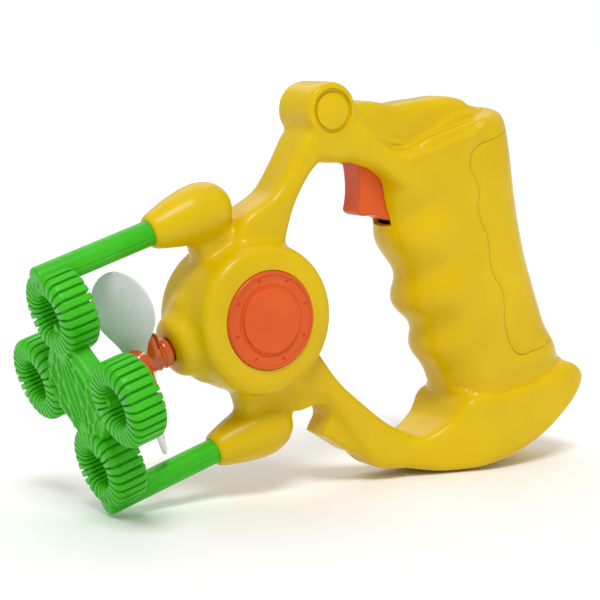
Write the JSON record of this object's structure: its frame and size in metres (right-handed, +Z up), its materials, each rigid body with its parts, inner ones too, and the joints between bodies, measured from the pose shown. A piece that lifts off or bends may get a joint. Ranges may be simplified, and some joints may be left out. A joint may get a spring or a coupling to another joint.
{
  "type": "handheld bubble machine",
  "caption": "Battery-driven hand-held bubble blower: a trigger runs a fan behind a cross of bubble rings on two plug-in rods.",
  "frame": {"origin": "centre of the bounding box's underside, on the floor it stands on", "axes": "+Z up, -X the way the fan blows, +X back along the grip, -Y the side with the left shell"},
  "size_m": [0.2338, 0.0924, 0.1511],
  "materials": {
    "yellow_shell": "moulded ABS, glossy",
    "orange_plastic": "moulded ABS, satin gloss",
    "orange_hub": "moulded polypropylene, glossy",
    "green_wand": "moulded polypropylene, satin",
    "clear_blade": "clear flexible PVC sheet",
    "inner_plastic": "moulded natural ABS",
    "motor_steel": "drawn and nickel-plated steel",
    "ferrite": "sintered ferrite",
    "brass_contact": "stamped brass",
    "spring_steel": "nickel-plated spring wire",
    "cell_wrap": "printed sleeve on a steel can",
    "red_pvc": "PVC insulation",
    "black_pvc": "PVC insulation",
    "blue_pvc": "PVC insulation",
    "screw_steel": "zinc-plated steel"
  },
  "bodies": {
    "housing": {"left_shell": "yellow_shell", "right_shell": "yellow_shell", "left_hub_cap": "orange_plastic", "right_hub_cap": "orange_plastic", "motor_can": "motor_steel", "motor_end_cap": "inner_plastic", "motor_terminals": "brass_contact", "motor_magnets": "ferrite", "trigger_pin": "screw_steel", "trigger_spring": "spring_steel", "switch_leaves": "brass_contact", "switch_base": "inner_plastic", "battery_tray": "inner_plastic", "battery_cell_1": "cell_wrap", "battery_cell_2": "cell_wrap", "battery_contacts": "brass_contact", "battery_springs": "spring_steel", "red_lead": "red_pvc", "black_lead": "black_pvc", "blue_lead": "blue_pvc", "case_screws": "screw_steel"},
    "fan": {"motor_rotor": "motor_steel", "motor_shaft": "motor_steel", "fan_hub": "orange_hub", "fan_blade_1": "clear_blade", "fan_blade_2": "clear_blade"},
    "trigger": {"trigger": "orange_plastic"},
    "wand": {"wand_rod_top": "green_wand", "wand_rod_bottom": "green_wand", "wand_ring_top": "green_wand", "wand_ring_bottom": "green_wand", "wand_ring_near": "green_wand", "wand_ring_far": "green_wand", "wand_web": "green_wand"},
    "battery_door": {"battery_door": "yellow_shell", "door_screw": "screw_steel"}
  },
  "joints": [
    {"name": "fan_spin", "type": "hinge", "parent": "housing", "child": "fan", "pos_m": [-0.07056, 0, 0.05542], "axis": [0.9555, 0, 0.2951], "continuous": true},
    {"name": "trigger_pull", "type": "hinge", "parent": "housing", "child": "trigger", "pos_m": [0.01576, 0, 0.12498], "axis": [0, -1, 0], "range_deg": [0, 9], "stiffness_Nm_per_rad": 0.08, "springref_deg": -17.19, "deforming": ["trigger_spring"]},
    {"name": "wand_pull", "type": "slide", "parent": "housing", "child": "wand", "axis": [-0.9555, 0, -0.2951], "range_m": [0, 0.025]},
    {"name": "door_pull", "type": "slide", "parent": "housing", "child": "battery_door", "axis": [0.9555, 0, 0.2951], "range_m": [0, 0.03]}
  ]
}
